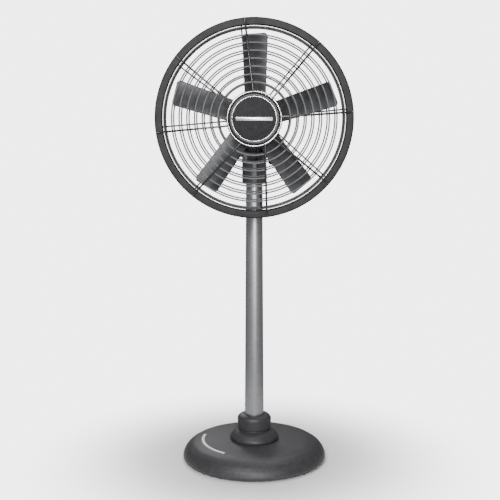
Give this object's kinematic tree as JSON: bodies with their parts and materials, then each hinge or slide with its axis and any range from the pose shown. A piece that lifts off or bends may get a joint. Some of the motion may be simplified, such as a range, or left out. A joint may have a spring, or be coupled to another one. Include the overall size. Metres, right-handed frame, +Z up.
{
  "type": "pedestal fan",
  "caption": "Industrial pedestal fan: wire-guarded bladed head that swivels and tilts on a fixed steel column with a round cast base.",
  "frame": {"origin": "centre of the base on the floor", "axes": "+Z up along the column; -Y is the front, where the air leaves; +X to the right seen from the front"},
  "size_m": [0.691, 0.5444, 1.6345],
  "materials": {
    "base_enamel": "dark grey fine-textured enamel on cast iron",
    "head_enamel": "dark grey enamel on castings",
    "column_steel": "satin light grey painted steel tube",
    "guard_wire": "semi-gloss black-grey coated steel wire and strip",
    "blade_metal": "satin dark grey painted sheet blades",
    "zinc_plate": "bright zinc plated fasteners",
    "badge_plastic": "fine-grained black moulded plastic",
    "badge_trim": "bright trim",
    "base_print": "plain white raised strip",
    "foot_rubber": "black rubber",
    "cast_aluminium": "as-cast aluminium",
    "core_steel": "laminated silicon steel",
    "shaft_steel": "ground steel",
    "copper": "varnished copper winding",
    "washer_brass": "turned brass"
  },
  "bodies": {
    "stand": {"base_casting": "base_enamel", "rubber_foot_1": "foot_rubber", "rubber_foot_2": "foot_rubber", "rubber_foot_3": "foot_rubber", "rubber_foot_4": "foot_rubber", "base_emblem_strip": "base_print", "pillar_flange": "base_enamel", "base_washer": "zinc_plate", "base_lock_nut": "zinc_plate", "pillar_collar": "base_enamel", "collar_screw": "zinc_plate", "pillar_tube": "column_steel", "stop_collar": "head_enamel"},
    "neck": {"neck_socket": "head_enamel", "thrust_washer": "washer_brass", "tilt_bolt": "zinc_plate", "tilt_washer": "zinc_plate"},
    "lock_screw": {"swivel_lock_screw": "zinc_plate"},
    "lever": {"tilt_lock_lever": "badge_plastic"},
    "head": {"motor_foot": "head_enamel", "stator_frame": "head_enamel", "front_shield": "cast_aluminium", "rear_shield": "head_enamel", "stator_core": "core_steel", "winding_front": "copper", "winding_rear": "copper", "front_bearing": "shaft_steel", "rear_bearing": "shaft_steel", "switch_box": "head_enamel", "switch_box_lid": "head_enamel", "capacitor": "badge_plastic", "cable_gland": "badge_plastic", "guard_rim": "guard_wire", "guard_front": "guard_wire", "guard_rear": "guard_wire", "guard_screw_1": "zinc_plate", "guard_screw_2": "zinc_plate", "guard_screw_3": "zinc_plate", "badge_dish": "badge_plastic", "badge_trim_ring": "badge_trim", "badge_name_bar": "badge_trim"},
    "knob": {"speed_knob": "badge_plastic"},
    "rotor": {"motor_shaft": "shaft_steel", "rotor_core": "core_steel", "hub_nut": "zinc_plate", "blade_hub": "cast_aluminium", "blade_1": "blade_metal", "blade_2": "blade_metal", "blade_3": "blade_metal", "blade_4": "blade_metal", "blade_5": "blade_metal", "blade_clamp_1": "zinc_plate", "blade_clamp_2": "zinc_plate", "blade_clamp_3": "zinc_plate", "blade_clamp_4": "zinc_plate", "blade_clamp_5": "zinc_plate"}
  },
  "joints": [
    {"name": "head_swivel", "type": "hinge", "parent": "stand", "child": "neck", "pos_m": [0, 0, 1.0978], "axis": [0, 0, 1], "range_deg": [-170, 170]},
    {"name": "swivel_screw_turn", "type": "hinge", "parent": "neck", "child": "lock_screw", "pos_m": [0, -0.045, 1.104], "axis": [0, -1, 0], "range_deg": [-90, 90]},
    {"name": "tilt_lever_turn", "type": "hinge", "parent": "neck", "child": "lever", "pos_m": [0.0476, 0, 1.158], "axis": [1, 0, 0], "range_deg": [-60, 45]},
    {"name": "head_tilt", "type": "hinge", "parent": "neck", "child": "head", "pos_m": [0, 0, 1.158], "axis": [-1, 0, 0], "range_deg": [-15, 25]},
    {"name": "speed_knob_turn", "type": "hinge", "parent": "head", "child": "knob", "pos_m": [0, 0.1229, 1.297], "axis": [0, 1, 0], "range_deg": [0, 135]},
    {"name": "fan_spin", "type": "hinge", "parent": "head", "child": "rotor", "pos_m": [0, -0.165, 1.289], "axis": [0, -1, 0], "continuous": true}
  ]
}
